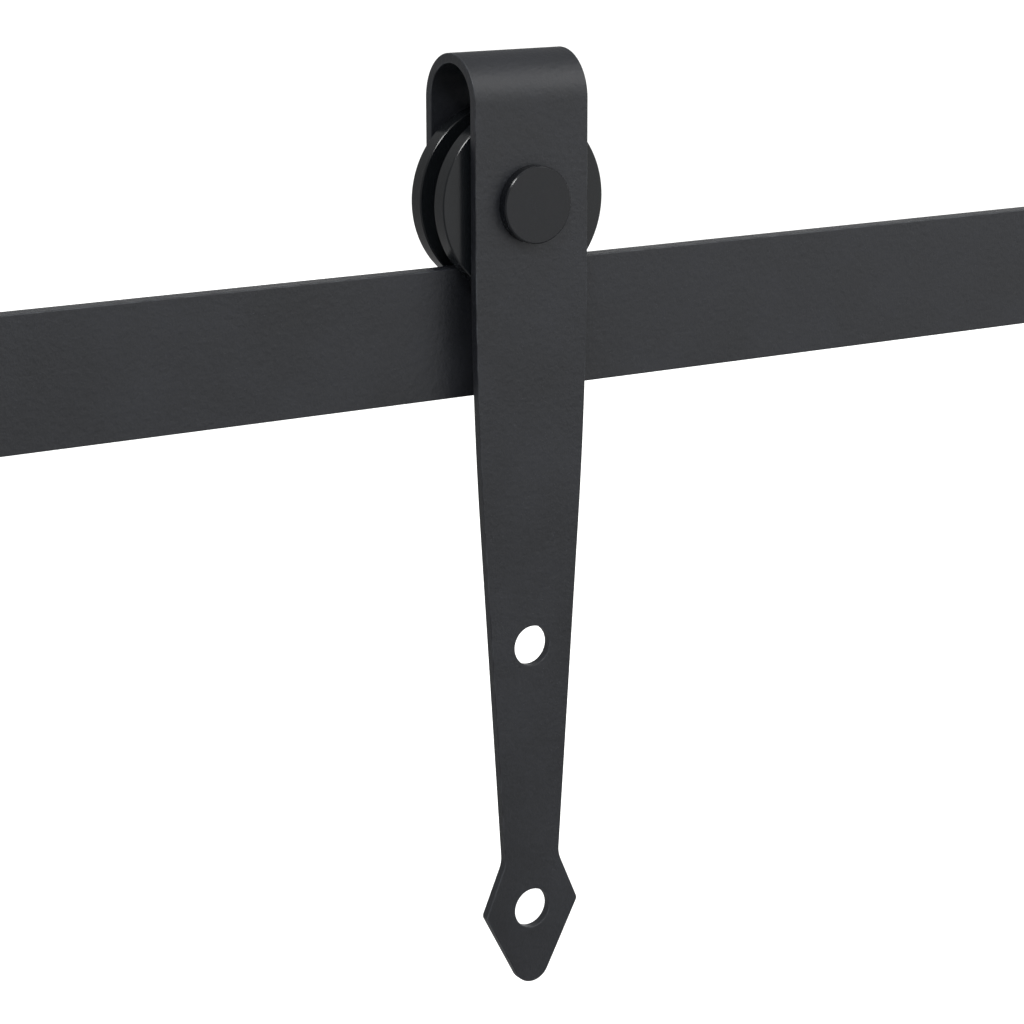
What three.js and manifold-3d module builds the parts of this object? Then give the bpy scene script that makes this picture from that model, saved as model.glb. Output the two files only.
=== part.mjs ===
// Sliding barn door hardware: one grooved-wheel hanger on a length of flat rail, with the rail's
// wall fixings and end stops. Millimetres. +X runs along the rail, +Y points at the wall, +Z is up.
// The origin is on the wall's surface, at the middle of the rail's length and height.

import * as THREE from "three";
import { mergeVertices } from "three/addons/utils/BufferGeometryUtils.js";
import Module from "manifold-3d";

const wasm = await Module();
wasm.setup();

// ---- driving dimensions ----

const touchGap = 0.05; // left between two faces that bear on each other
const boreGap = 0.05; // radial play left between a pin and its bore
const largeFacets = 40; // round the wheel and what is pressed into it
const smallFacets = 24; // round small turned parts

const railLength = 600;
const railHeight = 40;
const railThickness = 6;
const fixingX = 230; // rail bolts, left and right of the middle
const standOff = 36; // rail's back face to the wall

const strapWidth = 40;
const strapThickness = 3;
const bendDepth = 29; // over the outside of the two legs
const bendTop = 45; // above the axle
const backLegDrop = 20; // below the axle
const backLegCorner = 10;
const upperBoltDrop = 139.3; // door bolt holes, below the axle
const lowerBoltDrop = 227.3;
const doorBoltHoleRadius = 6.4;

// Half of the front leg's outline, below the axle: it tapers to a neck and ends in a spearhead.
const taperStart = 17;
const taperSlope = 0.066; // width lost to one side, per millimetre of length
const taperEase = 83; // length over which the taper eases in
const neckDrop = 210.5;
const neckFillet = 9;
const headHalfWidth = 17.2; // where the two edges of the spearhead would meet
const headCorner = 2;
const pointDrop = 260.2; // where the spearhead's edges would meet
const pointFillet = 6.5;

const treadRadius = 19.5;
const wheelRadius = 28.5;
const wheelWidth = 19.2;
const grooveWidth = 8; // at the rim
const grooveFloorWidth = 7.2;
const rimChamfer = 0.8;
const frontGap = 1.6; // front leg to wheel

// Deep-groove ball bearing, 10 x 26 x 8, two of them side by side in the wheel.
const bearing = {
  boreRadius: 5,
  outerRadius: 13,
  width: 8,
  innerShoulder: 7.4,
  outerShoulder: 10.6,
  pitchRadius: 9,
  ballRadius: 2.38,
  grooveRadius: 2.45,
  ballCount: 7,
};
const wheelLipRadius = 11.6; // the lip that stops the front bearing
const ringThickness = 1;
const ringGrooveRadius = 13.6;

const axleRadius = 5;
const axleHeadRadius = 11.8;
const axleHeadThickness = 3.6;
const sleeveRadius = 7;
const washerThickness = 1.6;
const axleWasherBore = 5.25;
const axleWasherRadius = 10;
const nutAcrossFlats = 17;
const nutHeight = 8;
const nutCollarHeight = 2.2;
const nutCollarRadius = 7.9;
const insertRecess = 0.3; // nylon ring's face below the collar's
const axleEndPastNut = 1.5;

const lagRadius = 4;
const lagLength = 100;
const lagPoint = 9;
const lagHeadAcrossFlats = 13;
const lagHeadHeight = 5.3;
const lagWasherBore = 4.3;
const lagWasherRadius = 8;
const railHoleRadius = 4.5;
const spacerRadius = 10;

const stopInnerX = 262; // the stop's face towards the hanger
const stopLength = 24;
const stopFrontCheek = 6.6;
const stopBackCheek = 5;
const stopTop = 9; // above the axle
const stopBottom = -10; // relative to the rail's middle
const stopSlotPlay = 0.1;
const grubRadius = 3;
const grubSpacing = 12;
const grubHeight = 5; // above the rail's middle
const grubSocketRadius = 1.75;
const bumperRadius = 8.5;
const bumperThickness = 8;
const bumperDrop = 1.5; // bumper's centre below the axle
const bumperScrewRadius = 2.5;
const bumperScrewHeadRadius = 4.6;
const bumperScrewHeadHeight = 3;
const bumperScrewSunk = 1.5; // head's face below the bumper's

// ---- places worked out from them ----

const railBackY = -standOff;
const railFrontY = railBackY - railThickness;
const railMiddleY = railBackY - railThickness / 2;
const railTopZ = railHeight / 2;
const axleZ = railTopZ + treadRadius;
const wheelMiddle = strapThickness + frontGap + wheelWidth / 2; // behind the strap's front face
const strapFrontY = railMiddleY - wheelMiddle;
const bendRadius = bendDepth / 2;
const bendCentre = bendTop - bendRadius;
const bearingOffset = bearing.width / 2 + touchGap / 2;

// ---- materials ----

const powderCoat = { color: 0x2f3032, roughness: 0.62, metalness: 0.2 };
const blackNylon = { color: 0x1b1c1d, roughness: 0.42, metalness: 0 };
const blackSteel = { color: 0x26272a, roughness: 0.5, metalness: 0.5 };
const bearingSteel = { color: 0xb9bcc0, roughness: 0.22, metalness: 1 };
const zincSteel = { color: 0x9a9da1, roughness: 0.38, metalness: 0.9 };
const sealRubber = { color: 0x17181a, roughness: 0.75, metalness: 0 };
const bumperRubber = { color: 0x141516, roughness: 0.85, metalness: 0 };
const paleNylon = { color: 0xd8dad6, roughness: 0.55, metalness: 0 };
const cagePolymer = { color: 0x8a8f78, roughness: 0.55, metalness: 0 };

// ---- helpers ----

const model = new THREE.Group();

// The hanger's own frame: its origin is on the axle's axis, on the strap's front face.
const hanger = new THREE.Group();
hanger.position.set(0, strapFrontY, axleZ);
model.add(hanger);

function addPart(parent, name, geometry, finish) {
  const mesh = new THREE.Mesh(geometry, new THREE.MeshStandardMaterial(finish));
  mesh.name = name;
  parent.add(mesh);
  return mesh;
}

function toSolid(geometry) {
  const bare = geometry.clone();
  bare.deleteAttribute("normal");
  bare.deleteAttribute("uv");
  const merged = mergeVertices(bare, 1e-4);
  const corners = merged.index.array;
  const kept = [];
  for (let i = 0; i < corners.length; i += 3) {
    const [a, b, c] = [corners[i], corners[i + 1], corners[i + 2]];
    if (a !== b && b !== c && c !== a) kept.push(a, b, c);
  }
  const mesh = new wasm.Mesh({
    numProp: 3,
    vertProperties: new Float32Array(merged.attributes.position.array),
    triVerts: new Uint32Array(kept),
  });
  return new wasm.Manifold(mesh);
}

function toGeometry(solid) {
  const mesh = solid.getMesh();
  const geometry = new THREE.BufferGeometry();
  geometry.setAttribute("position", new THREE.BufferAttribute(mesh.vertProperties, 3));
  geometry.setIndex(new THREE.BufferAttribute(mesh.triVerts, 1));
  geometry.computeVertexNormals();
  return geometry;
}

function cut(geometry, ...cutters) {
  return toGeometry(cutters.reduce((solid, cutter) => solid.subtract(toSolid(cutter)), toSolid(geometry)));
}

// Turns a profile of [radius, height] points about the Y axis. A ring's profile closes on itself;
// a solid one starts and ends on the axis. Points run with the metal on their left.
function turned(points, facets = smallFacets) {
  const profile = points.map(([radius, height]) => new THREE.Vector2(radius, height));
  if (points[0][0] > 0) profile.push(profile[0].clone());
  return new THREE.LatheGeometry(profile, facets);
}

function tube(innerRadius, outerRadius, start, end, facets = smallFacets) {
  return turned([[innerRadius, start], [outerRadius, start], [outerRadius, end], [innerRadius, end]], facets);
}

function rod(radius, start, end, facets = smallFacets) {
  return turned([[0, start], [radius, start], [radius, end], [0, end]], facets);
}

// A hexagonal bar about the Y axis.
function hexBar(acrossFlats, start, end) {
  return rod(acrossFlats / 2 / Math.cos(Math.PI / 6), start, end, 6);
}

// Points along an arc in the profile plane, from one angle to another.
function arcPoints(centreX, centreY, radius, from, to, steps) {
  const points = [];
  for (let i = 0; i <= steps; i += 1) {
    const angle = from + ((to - from) * i) / steps;
    points.push([centreX + radius * Math.cos(angle), centreY + radius * Math.sin(angle)]);
  }
  return points;
}

// A closed outline of straight edges whose corners [x, y, fillet] are rounded by arcs.
function filletedPoints(corners) {
  const points = [];
  corners.forEach(([x, y, fillet], i) => {
    const corner = new THREE.Vector2(x, y);
    if (!fillet) {
      points.push(corner);
      return;
    }
    const [beforeX, beforeY] = corners[(i + corners.length - 1) % corners.length];
    const [afterX, afterY] = corners[(i + 1) % corners.length];
    const toBefore = new THREE.Vector2(beforeX, beforeY).sub(corner).normalize();
    const toAfter = new THREE.Vector2(afterX, afterY).sub(corner).normalize();
    const halfAngle = Math.acos(toBefore.dot(toAfter)) / 2;
    const bisector = toBefore.clone().add(toAfter).normalize();
    const centre = corner.clone().addScaledVector(bisector, fillet / Math.sin(halfAngle));
    const start = corner.clone().addScaledVector(toBefore, fillet / Math.tan(halfAngle)).sub(centre);
    const turn = (Math.PI - 2 * halfAngle) * Math.sign(toBefore.cross(toAfter));
    const steps = Math.max(2, Math.ceil(Math.abs(turn) / (Math.PI / 16)));
    for (let step = 0; step <= steps; step += 1) {
      points.push(start.clone().rotateAround(new THREE.Vector2(), (-turn * step) / steps).add(centre));
    }
  });
  return points;
}

function circlePath(x, y, radius) {
  return new THREE.Path().absarc(x, y, radius, 0, 2 * Math.PI, true);
}

// Extrudes a shape drawn in X and Z along Y, from one Y to another.
function extrudedAlongY(shape, start, end, curveSegments = 12) {
  const geometry = new THREE.ExtrudeGeometry(shape, { depth: end - start, bevelEnabled: false, curveSegments });
  return geometry.rotateX(Math.PI / 2).translate(0, end, 0);
}

// Extrudes a shape drawn in Y and Z along X, from one X to another.
function extrudedAlongX(shape, start, end, curveSegments = 12) {
  const geometry = new THREE.ExtrudeGeometry(shape, { depth: end - start, bevelEnabled: false, curveSegments });
  return geometry.rotateX(Math.PI / 2).rotateZ(Math.PI / 2).translate(start, 0, 0);
}

// ---- strap: a flat bar bent over the wheel, long leg in front, short leg behind ----

function taperHalfWidth(drop) {
  const eased = Math.min(Math.max(drop - taperStart, 0), taperEase);
  const straight = Math.max(drop - taperStart - taperEase, 0);
  return strapWidth / 2 - (taperSlope * eased * eased) / (2 * taperEase) - taperSlope * straight;
}

function frontLegOutline() {
  const edgeSteps = 6;
  const rightEdge = [[strapWidth / 2, bendTop + 1, 0]];
  for (let i = 0; i <= edgeSteps; i += 1) {
    const drop = taperStart + (taperEase * i) / edgeSteps;
    rightEdge.push([taperHalfWidth(drop), -drop, 0]);
  }
  rightEdge.push([taperHalfWidth(neckDrop), -neckDrop, neckFillet]);
  rightEdge.push([headHalfWidth, -lowerBoltDrop, headCorner]);
  const leftEdge = rightEdge.map(([x, z, fillet]) => [-x, z, fillet]).reverse();
  return new THREE.Shape(filletedPoints([...rightEdge, [0, -pointDrop, pointFillet], ...leftEdge]));
}

function backLegOutline() {
  const half = strapWidth / 2;
  const corners = [
    [half, bendTop + 1, 0],
    [half, -backLegDrop, backLegCorner],
    [-half, -backLegDrop, backLegCorner],
    [-half, bendTop + 1, 0],
  ];
  return new THREE.Shape(filletedPoints(corners));
}

function bentBar() {
  const innerRadius = bendRadius - strapThickness;
  const section = new THREE.Shape();
  section.moveTo(0, -pointDrop);
  section.lineTo(strapThickness, -pointDrop);
  section.lineTo(strapThickness, bendCentre);
  section.absarc(bendRadius, bendCentre, innerRadius, Math.PI, 0, true);
  section.lineTo(bendDepth - strapThickness, -backLegDrop - 1);
  section.lineTo(bendDepth, -backLegDrop - 1);
  section.lineTo(bendDepth, bendCentre);
  section.absarc(bendRadius, bendCentre, bendRadius, 0, Math.PI, false);
  section.lineTo(0, -pointDrop);
  return extrudedAlongX(section, -strapWidth / 2, strapWidth / 2, 12);
}

function strapGeometry() {
  const front = toSolid(extrudedAlongY(frontLegOutline(), -1, bendRadius));
  const back = toSolid(extrudedAlongY(backLegOutline(), bendRadius, bendDepth + 1));
  const axleHole = toSolid(rod(axleRadius + 2 * boreGap, -1, bendDepth + 1, largeFacets));
  const boltHole = rod(doorBoltHoleRadius, -1, strapThickness + 1, 32);
  const upperHole = toSolid(boltHole.clone().translate(0, 0, -upperBoltDrop));
  const lowerHole = toSolid(boltHole.clone().translate(0, 0, -lowerBoltDrop));
  const outline = toSolid(bentBar()).intersect(front.add(back));
  return toGeometry(outline.subtract(axleHole).subtract(upperHole).subtract(lowerHole));
}

addPart(hanger, "strap", strapGeometry(), powderCoat);

// ---- axle bolt, sleeves, washer and lock nut ----

const washerStart = bendDepth + touchGap;
const nutStart = washerStart + washerThickness + touchGap;
const nutEnd = nutStart + nutHeight;

function axleBoltGeometry() {
  const headChamfer = 0.6;
  const endChamfer = 1;
  const end = nutEnd + axleEndPastNut;
  return turned([
    [0, -axleHeadThickness],
    [axleHeadRadius - headChamfer, -axleHeadThickness],
    [axleHeadRadius, -axleHeadThickness + headChamfer],
    [axleHeadRadius, -touchGap],
    [axleRadius, -touchGap],
    [axleRadius, end - endChamfer],
    [axleRadius - endChamfer, end],
    [0, end],
  ], largeFacets);
}

function lockNutGeometry() {
  const collarStart = nutEnd - nutCollarHeight;
  const hex = toSolid(hexBar(nutAcrossFlats, nutStart, collarStart));
  const collar = toSolid(rod(nutCollarRadius, collarStart - 1, nutEnd));
  const bore = toSolid(rod(axleRadius + boreGap, nutStart - 1, nutEnd + 1, largeFacets));
  const pocket = toSolid(rod(sleeveRadius, collarStart, nutEnd + 1));
  return toGeometry(hex.add(collar).subtract(bore).subtract(pocket));
}

const wheelFront = wheelMiddle - wheelWidth / 2;
const bearingsStart = wheelMiddle - 2 * bearing.width / 2 - touchGap / 2;
const bearingsEnd = wheelMiddle + 2 * bearing.width / 2 + touchGap / 2;
const backLegFace = bendDepth - strapThickness;

addPart(hanger, "axle_bolt", axleBoltGeometry(), powderCoat);
addPart(
  hanger,
  "front_sleeve",
  tube(axleRadius + boreGap, sleeveRadius, strapThickness + touchGap, bearingsStart - touchGap, largeFacets),
  zincSteel,
);
addPart(
  hanger,
  "back_sleeve",
  tube(axleRadius + boreGap, sleeveRadius, bearingsEnd + touchGap, backLegFace - touchGap, largeFacets),
  zincSteel,
);
addPart(
  hanger,
  "axle_washer",
  tube(axleWasherBore, axleWasherRadius, washerStart, washerStart + washerThickness),
  blackSteel,
);
addPart(hanger, "lock_nut", lockNutGeometry(), blackSteel);
addPart(
  hanger,
  "lock_nut_insert",
  tube(axleRadius + boreGap, sleeveRadius - touchGap, nutEnd - nutCollarHeight + touchGap, nutEnd - insertRecess),
  paleNylon,
);

// ---- wheel: two equal flanges with the rail running between them ----

const wheelFrame = new THREE.Group(); // centred on the wheel
wheelFrame.position.y = wheelMiddle;
hanger.add(wheelFrame);

function wheelGeometry() {
  const half = wheelWidth / 2;
  const runningTread = treadRadius - touchGap;
  const lipEnd = -bearingOffset * 2 - touchGap;
  const ringStart = bearingOffset * 2;
  const ringEnd = ringStart + ringThickness + touchGap;
  const grooveEdge = grooveWidth / 2;
  const floorEdge = grooveFloorWidth / 2;
  return turned([
    [wheelLipRadius, -half],
    [wheelRadius - rimChamfer, -half],
    [wheelRadius, -half + rimChamfer],
    [wheelRadius, -grooveEdge - rimChamfer / 2],
    [wheelRadius - rimChamfer / 2, -grooveEdge],
    [runningTread, -floorEdge],
    [runningTread, floorEdge],
    [wheelRadius - rimChamfer / 2, grooveEdge],
    [wheelRadius, grooveEdge + rimChamfer / 2],
    [wheelRadius, half - rimChamfer],
    [wheelRadius - rimChamfer, half],
    [bearing.outerRadius, half],
    [bearing.outerRadius, ringEnd],
    [ringGrooveRadius, ringEnd],
    [ringGrooveRadius, ringStart],
    [bearing.outerRadius, ringStart],
    [bearing.outerRadius, lipEnd],
    [wheelLipRadius, lipEnd],
  ], largeFacets);
}

function retainingRingGeometry() {
  const outer = ringGrooveRadius - 2 * boreGap;
  const inner = bearing.outerRadius - 1.2;
  const lugInner = bearing.outerRadius - 3.2;
  const halfMouth = 0.16; // radians, half of the opening
  const halfLug = 0.42; // radians, to a lug's far side
  const shape = new THREE.Shape();
  shape.absarc(0, 0, outer, halfMouth, 2 * Math.PI - halfMouth, false);
  shape.absarc(0, 0, lugInner, 2 * Math.PI - halfMouth, 2 * Math.PI - halfLug, true);
  shape.absarc(0, 0, inner, 2 * Math.PI - halfLug, halfLug, true);
  shape.absarc(0, 0, lugInner, halfLug, halfMouth, true);
  const lugHoleRadius = 0.8;
  const lugAngle = (halfMouth + halfLug) / 2;
  const lugReach = (lugInner + outer) / 2;
  for (const side of [-1, 1]) {
    const x = lugReach * Math.cos(lugAngle);
    const y = side * lugReach * Math.sin(lugAngle);
    shape.holes.push(circlePath(x, y, lugHoleRadius));
  }
  const start = 2 * bearingOffset + touchGap / 2;
  return extrudedAlongY(shape, start, start + ringThickness, 10);
}

addPart(wheelFrame, "wheel", wheelGeometry(), blackNylon);
addPart(wheelFrame, "retaining_ring", retainingRingGeometry(), blackSteel);

// ---- the two ball bearings ----

const bearingHalf = bearing.width / 2;
const grooveMouth = Math.acos((bearing.pitchRadius - bearing.innerShoulder) / bearing.grooveRadius);

function innerRaceGeometry() {
  const raceway = arcPoints(
    bearing.pitchRadius, 0, bearing.grooveRadius, Math.PI + grooveMouth, Math.PI - grooveMouth, 4,
  );
  const bore = bearing.boreRadius + boreGap;
  return turned([
    [bore, -bearingHalf],
    [bearing.innerShoulder, -bearingHalf],
    ...raceway,
    [bearing.innerShoulder, bearingHalf],
    [bore, bearingHalf],
  ], largeFacets);
}

function outerRaceGeometry() {
  const raceway = arcPoints(bearing.pitchRadius, 0, bearing.grooveRadius, grooveMouth, -grooveMouth, 4);
  const outer = bearing.outerRadius - boreGap;
  return turned([
    [outer, -bearingHalf],
    [outer, bearingHalf],
    [bearing.outerShoulder, bearingHalf],
    ...raceway,
    [bearing.outerShoulder, -bearingHalf],
  ], largeFacets);
}

const ballAngles = Array.from({ length: bearing.ballCount }, (_, i) => (2 * Math.PI * i) / bearing.ballCount);

function cageGeometry() {
  const pocketPlay = 0.08;
  const halfThickness = 0.5;
  const halfWidth = 2.9;
  const ring = tube(
    bearing.pitchRadius - halfThickness, bearing.pitchRadius + halfThickness, -halfWidth, halfWidth, 28,
  );
  const pocket = new THREE.CylinderGeometry(
    bearing.ballRadius + pocketPlay, bearing.ballRadius + pocketPlay, 4 * halfThickness, 12,
  ).rotateX(Math.PI / 2).translate(0, 0, bearing.pitchRadius);
  return cut(ring, ...ballAngles.map((angle) => pocket.clone().rotateY(angle)));
}

function sealGeometry(side) {
  const lipPlay = 0.2;
  const recess = 0.2;
  const thickness = 0.7;
  const outside = side * (bearingHalf - recess);
  const inside = outside - side * thickness;
  return tube(
    bearing.innerShoulder + lipPlay,
    bearing.outerShoulder - touchGap,
    Math.min(inside, outside),
    Math.max(inside, outside),
    largeFacets,
  );
}

for (const [place, side] of [["front", -1], ["back", 1]]) {
  const frame = new THREE.Group(); // centred on this bearing
  frame.position.y = side * bearingOffset;
  wheelFrame.add(frame);
  addPart(frame, `${place}_inner_race`, innerRaceGeometry(), bearingSteel);
  addPart(frame, `${place}_outer_race`, outerRaceGeometry(), bearingSteel);
  ballAngles.forEach((angle, i) => {
    const ball = addPart(
      frame, `${place}_ball_${i + 1}`, new THREE.SphereGeometry(bearing.ballRadius, 10, 6), bearingSteel,
    );
    ball.position.set(bearing.pitchRadius * Math.sin(angle), 0, bearing.pitchRadius * Math.cos(angle));
  });
  addPart(frame, `${place}_cage`, cageGeometry(), cagePolymer);
  addPart(frame, `${place}_bearing_front_seal`, sealGeometry(-1), sealRubber);
  addPart(frame, `${place}_bearing_back_seal`, sealGeometry(1), sealRubber);
}

// ---- rail ----

function railGeometry() {
  const end = railLength / 2;
  const shape = new THREE.Shape([
    new THREE.Vector2(-end, -railHeight / 2),
    new THREE.Vector2(end, -railHeight / 2),
    new THREE.Vector2(end, railHeight / 2),
    new THREE.Vector2(-end, railHeight / 2),
  ]);
  shape.holes.push(circlePath(-fixingX, 0, railHoleRadius), circlePath(fixingX, 0, railHoleRadius));
  return extrudedAlongY(shape, railFrontY, railBackY, 16);
}

addPart(model, "rail", railGeometry(), powderCoat);

// ---- wall fixings: spacer, washer and lag bolt ----

const lagWasherBack = railFrontY - touchGap;
const lagHeadBack = lagWasherBack - washerThickness - touchGap;

function lagBoltGeometry() {
  const end = lagHeadBack + lagLength;
  const head = toSolid(hexBar(lagHeadAcrossFlats, lagHeadBack - lagHeadHeight, lagHeadBack));
  const shank = toSolid(turned([
    [0, lagHeadBack - 1],
    [lagRadius, lagHeadBack - 1],
    [lagRadius, end - lagPoint],
    [0, end],
  ], 16));
  return toGeometry(head.add(shank));
}

// ---- end stops: a saddle clamped on the rail, with a rubber bumper towards the hanger ----

const slotFrontY = railFrontY - stopSlotPlay;
const slotBackY = railBackY + stopSlotPlay;
const stopFrontY = slotFrontY - stopFrontCheek;
const stopBackY = slotBackY + stopBackCheek;
const stopTopZ = axleZ + stopTop;
const bumperY = (stopFrontY + stopBackY) / 2;
const bumperZ = axleZ - bumperDrop;

function stopBlockGeometry() {
  const topFillet = 3;
  const footFillet = 1.5;
  const saddle = new THREE.Shape(filletedPoints([
    [stopFrontY, stopBottom, footFillet],
    [slotFrontY, stopBottom, 0],
    [slotFrontY, railTopZ + stopSlotPlay, 0],
    [slotBackY, railTopZ + stopSlotPlay, 0],
    [slotBackY, stopBottom, 0],
    [stopBackY, stopBottom, footFillet],
    [stopBackY, stopTopZ, topFillet],
    [stopFrontY, stopTopZ, topFillet],
  ]));
  const body = extrudedAlongX(saddle, -stopLength / 2, stopLength / 2);
  const bumperHole = rod(bumperScrewRadius + boreGap, -stopLength, stopLength, 16)
    .rotateZ(Math.PI / 2)
    .translate(0, bumperY, bumperZ);
  const grubHoles = [-1, 1].map((side) =>
    rod(grubRadius + boreGap, stopFrontY - 1, slotFrontY + 1, 16)
      .translate((side * grubSpacing) / 2, 0, grubHeight));
  return cut(body, bumperHole, ...grubHoles);
}

// A socket set screw; two of them clamp each saddle to the rail.
function grubScrewGeometry() {
  const socketDepth = 2.5;
  const sunk = 0.3;
  const start = stopFrontY + sunk;
  const body = rod(grubRadius, start, railFrontY - touchGap, 16);
  const socket = rod(grubSocketRadius, start - 1, start + socketDepth, 6);
  return cut(body, socket);
}

// The bumper and its screw are turned about Y, base at zero, and then turned to face the hanger.
function bumperGeometry() {
  const edge = 1;
  const recess = bumperScrewHeadRadius + 0.4;
  const recessFloor = bumperThickness - bumperScrewHeadHeight - bumperScrewSunk;
  return turned([
    [bumperScrewRadius + 2 * boreGap, touchGap],
    [bumperRadius, touchGap],
    [bumperRadius, bumperThickness - edge],
    [bumperRadius - edge, bumperThickness],
    [recess, bumperThickness],
    [recess, recessFloor],
    [bumperScrewRadius + 2 * boreGap, recessFloor],
  ]);
}

function bumperScrewGeometry() {
  const seat = bumperThickness - bumperScrewHeadHeight - bumperScrewSunk + touchGap;
  const reach = 14;
  const headEdge = 0.8;
  const socketDepth = 1.8;
  const top = seat + bumperScrewHeadHeight;
  const body = turned([
    [0, seat - reach],
    [bumperScrewRadius, seat - reach],
    [bumperScrewRadius, seat],
    [bumperScrewHeadRadius, seat],
    [bumperScrewHeadRadius, top - headEdge],
    [bumperScrewHeadRadius - headEdge, top],
    [0, top],
  ], 16);
  const socket = rod(grubSocketRadius, top - socketDepth, top + 1, 6);
  return cut(body, socket);
}

for (const [place, side] of [["left", -1], ["right", 1]]) {
  const fixing = new THREE.Group();
  fixing.position.x = side * fixingX;
  model.add(fixing);
  addPart(fixing, `${place}_spacer`, tube(railHoleRadius, spacerRadius, railBackY + touchGap, 0), powderCoat);
  addPart(
    fixing,
    `${place}_washer`,
    tube(lagWasherBore, lagWasherRadius, lagWasherBack - washerThickness, lagWasherBack),
    blackSteel,
  );
  addPart(fixing, `${place}_lag_bolt`, lagBoltGeometry(), blackSteel);

  const stop = new THREE.Group();
  stop.position.x = side * (stopInnerX + stopLength / 2);
  model.add(stop);
  addPart(stop, `${place}_stop_block`, stopBlockGeometry(), powderCoat);
  for (const [which, end] of [["left", -1], ["right", 1]]) {
    const screw = addPart(stop, `${place}_stop_${which}_grub_screw`, grubScrewGeometry(), blackSteel);
    screw.position.set((end * grubSpacing) / 2, 0, grubHeight);
  }

  const bumperFrame = new THREE.Group(); // local +Y points at the hanger
  bumperFrame.position.set((-side * stopLength) / 2, bumperY, bumperZ);
  bumperFrame.rotation.z = (side * Math.PI) / 2;
  stop.add(bumperFrame);
  addPart(bumperFrame, `${place}_stop_bumper`, bumperGeometry(), bumperRubber);
  addPart(bumperFrame, `${place}_bumper_screw`, bumperScrewGeometry(), blackSteel);
}

export default model;
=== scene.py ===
from itertools import combinations
from math import acos, ceil, cos, pi, radians, sin, tan

import bmesh
import bpy
from mathutils import Matrix, Vector


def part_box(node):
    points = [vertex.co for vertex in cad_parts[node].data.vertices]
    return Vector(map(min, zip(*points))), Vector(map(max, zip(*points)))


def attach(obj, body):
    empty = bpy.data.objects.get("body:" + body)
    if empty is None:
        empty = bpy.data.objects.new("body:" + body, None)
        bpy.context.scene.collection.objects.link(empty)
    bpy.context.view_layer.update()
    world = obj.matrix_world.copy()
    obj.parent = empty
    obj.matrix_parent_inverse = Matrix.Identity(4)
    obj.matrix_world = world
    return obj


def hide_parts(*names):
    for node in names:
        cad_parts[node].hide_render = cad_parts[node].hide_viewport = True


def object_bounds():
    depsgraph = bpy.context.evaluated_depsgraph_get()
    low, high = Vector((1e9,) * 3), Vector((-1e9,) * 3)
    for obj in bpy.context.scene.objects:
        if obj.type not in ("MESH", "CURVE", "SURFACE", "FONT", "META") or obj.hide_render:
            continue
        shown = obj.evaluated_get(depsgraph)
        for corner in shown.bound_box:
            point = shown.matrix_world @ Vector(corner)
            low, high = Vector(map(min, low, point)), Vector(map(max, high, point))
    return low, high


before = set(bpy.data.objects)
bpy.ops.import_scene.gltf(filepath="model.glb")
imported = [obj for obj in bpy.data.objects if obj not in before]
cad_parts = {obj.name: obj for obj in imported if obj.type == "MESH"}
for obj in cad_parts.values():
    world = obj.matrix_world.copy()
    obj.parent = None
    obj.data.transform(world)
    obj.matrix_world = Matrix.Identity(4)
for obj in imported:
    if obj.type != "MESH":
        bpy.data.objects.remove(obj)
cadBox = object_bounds()
print("frame loaded:", len(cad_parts), "parts")

mm = 0.001  # the sizes below are in millimetres, Blender's are in metres

# places that everything else is worked out from
strapLow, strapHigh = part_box("strap")
wheelLow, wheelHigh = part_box("wheel")
axleLow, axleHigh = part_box("axle_bolt")
railLow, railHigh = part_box("rail")
strapFrontY = strapLow.y
axleZ = (axleLow.z + axleHigh.z) / 2
wheelY = (wheelLow.y + wheelHigh.y) / 2
alongY = Vector((0, 1, 0))


def linearColour(hexCode):  # sRGB hex to linear, with alpha
    channels = [int(hexCode[i:i + 2], 16) / 255 for i in (1, 3, 5)]
    return tuple(c / 12.92 if c <= 0.04045 else ((c + 0.055) / 1.055) ** 2.4 for c in channels) + (1,)


def addNode(tree, kind, inputs=None, **settings):  # inputs: socket name or index -> value, or what to link
    node = tree.nodes.new(kind)
    for key, value in settings.items():
        setattr(node, key, value)
    for key, value in (inputs or {}).items():
        if isinstance(value, bpy.types.Node):
            value = value.outputs[0]
        if isinstance(value, bpy.types.NodeSocket):
            tree.links.new(value, node.inputs[key])
        else:
            node.inputs[key].default_value = value
    return node


def rounded(corners, closed=True, arcStep=radians(18)):  # [x, y, fillet] corners to points, fillets as arcs
    points = []
    count = len(corners)
    for i, (x, y, fillet) in enumerate(corners):
        here = Vector((x, y))
        if not fillet or (not closed and i in (0, count - 1)):
            points.append(here)
            continue
        toBefore = (Vector(corners[i - 1][:2]) - here).normalized()
        toAfter = (Vector(corners[(i + 1) % count][:2]) - here).normalized()
        halfAngle = acos(max(-1, min(1, toBefore.dot(toAfter)))) / 2
        centre = here + (toBefore + toAfter).normalized() * (fillet / sin(halfAngle))
        start = here + toBefore * (fillet / tan(halfAngle)) - centre
        turn = pi - 2 * halfAngle
        if toBefore.x * toAfter.y - toBefore.y * toAfter.x > 0:
            turn = -turn
        steps = max(3, ceil(abs(turn) / arcStep))
        for step in range(steps + 1):
            angle = turn * step / steps
            along = start.x * cos(angle) - start.y * sin(angle)
            across = start.x * sin(angle) + start.y * cos(angle)
            points.append(centre + Vector((along, across)))
    return points


def circleLoop(x, y, radius, steps=64):  # clockwise, as a hole runs
    return [Vector((x + radius * cos(2 * pi * i / steps), y - radius * sin(2 * pi * i / steps)))
            for i in range(steps)]


def standOn(origin, axis):  # turns local +Z to an axis and moves the local origin to a place
    turn = Vector((0, 0, 1)).rotation_difference(Vector(axis)).to_matrix().to_4x4()
    return Matrix.Translation(origin) @ turn


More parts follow.
